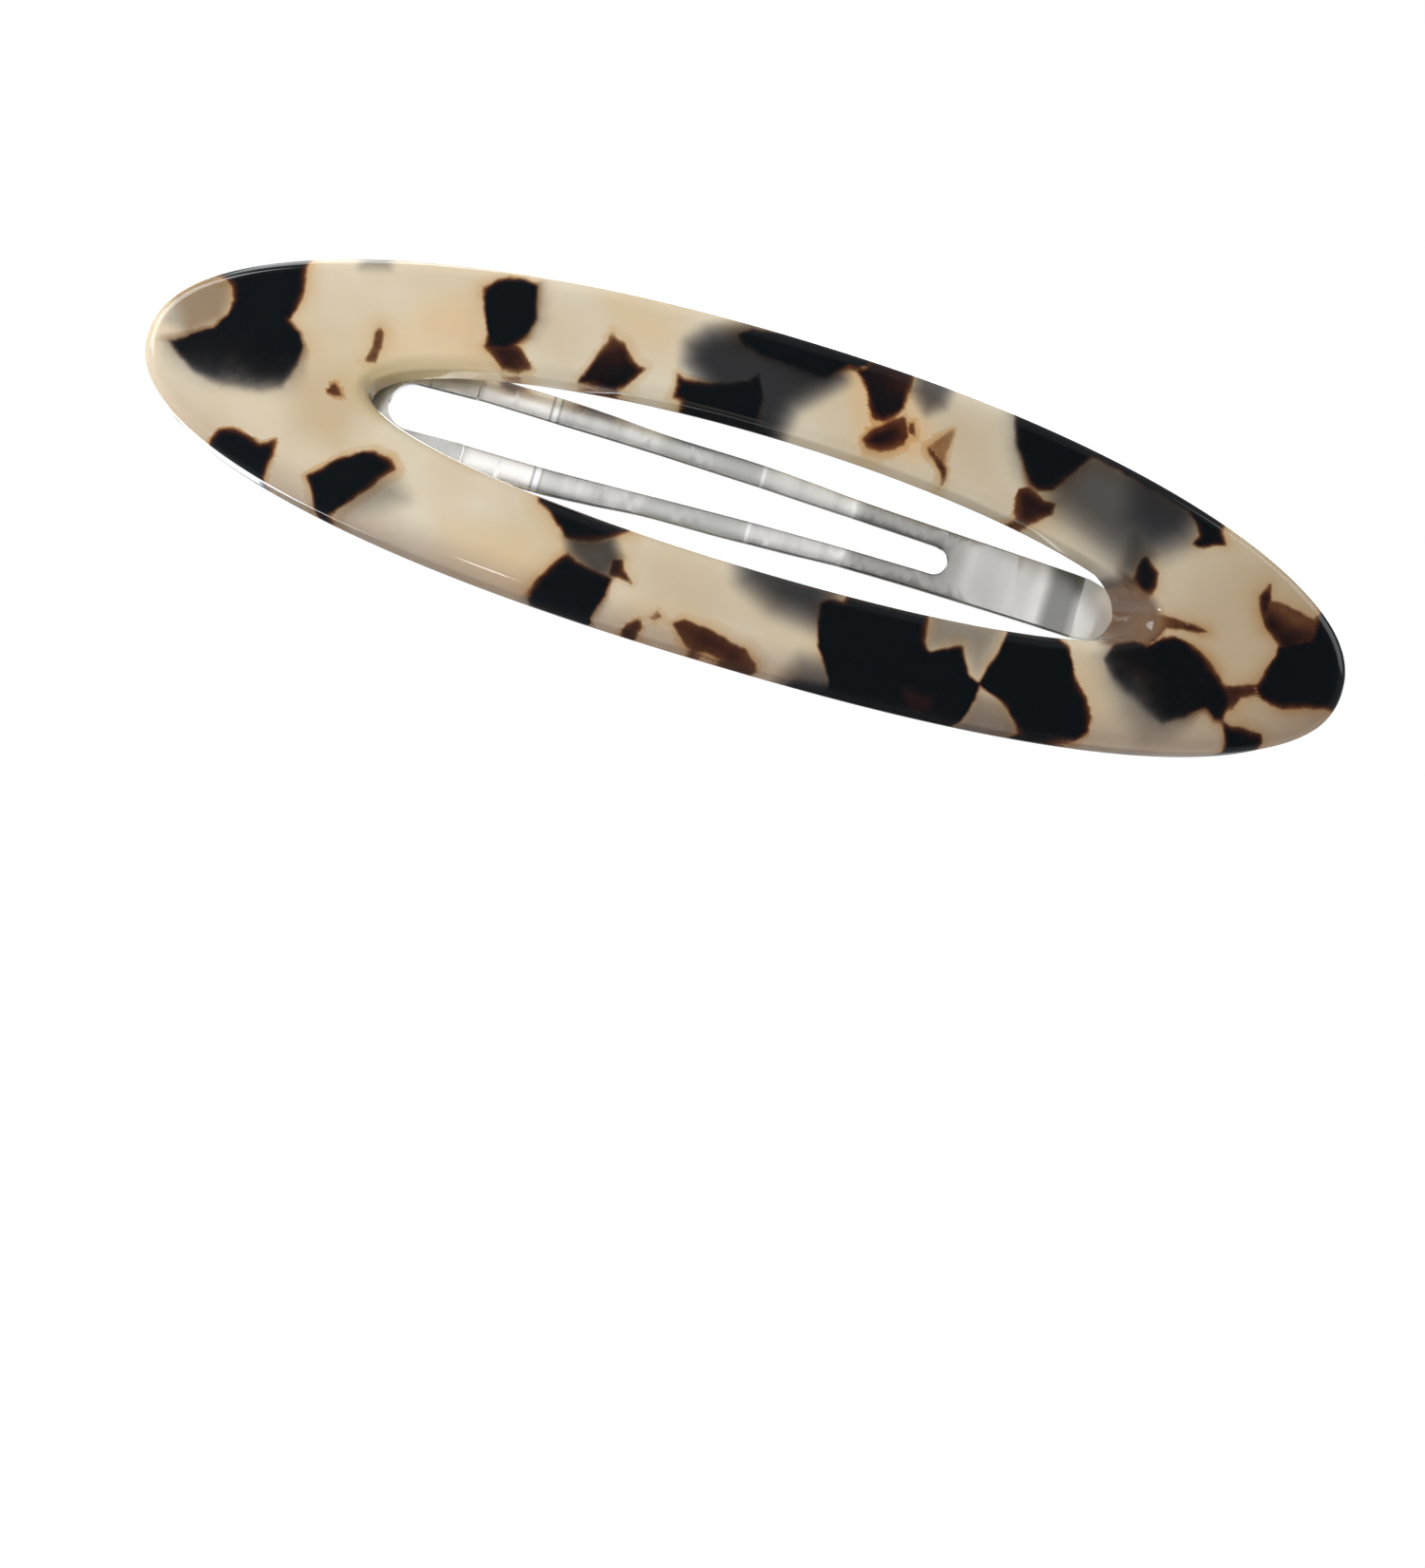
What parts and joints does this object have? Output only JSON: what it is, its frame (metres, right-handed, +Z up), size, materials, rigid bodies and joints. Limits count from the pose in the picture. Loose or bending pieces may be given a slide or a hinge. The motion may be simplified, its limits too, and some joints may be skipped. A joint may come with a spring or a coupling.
{
  "type": "barrette",
  "caption": "Oval snap barrette: arched tortoiseshell acetate ring bonded to a riveted spring-steel clip whose forked tongue opens backwards from its root.",
  "frame": {"origin": "middle of the gap that grips the hair, on the barrette's centre lines", "axes": "+X along the barrette from the clip's root to its riveted tip, -Y out of the hair through the front face, +Z up as worn"},
  "size_m": [0.0696, 0.0079, 0.0186],
  "materials": {
    "tortoiseshell_acetate": "polished cream acetate with dark brown and black flakes",
    "spring_steel": "bright rolled strip, stamped and bent",
    "rivet_steel": "bright, peened head",
    "clear_adhesive": "clear, slightly yellow cured adhesive"
  },
  "bodies": {
    "clip": {"acetate_front": "tortoiseshell_acetate", "clip_frame": "spring_steel", "tip_rivet": "rivet_steel", "root_adhesive": "clear_adhesive", "upper_arm_adhesive": "clear_adhesive", "lower_arm_adhesive": "clear_adhesive", "tip_adhesive": "clear_adhesive"},
    "tongue": {"clip_tongue": "spring_steel"}
  },
  "joints": [
    {"name": "tongue_open", "type": "hinge", "parent": "clip", "child": "tongue", "pos_m": [-0.0143, 0.00053, 0], "axis": [0, 0, 1], "range_deg": [0, 28], "stiffness_Nm_per_rad": 0.02}
  ]
}
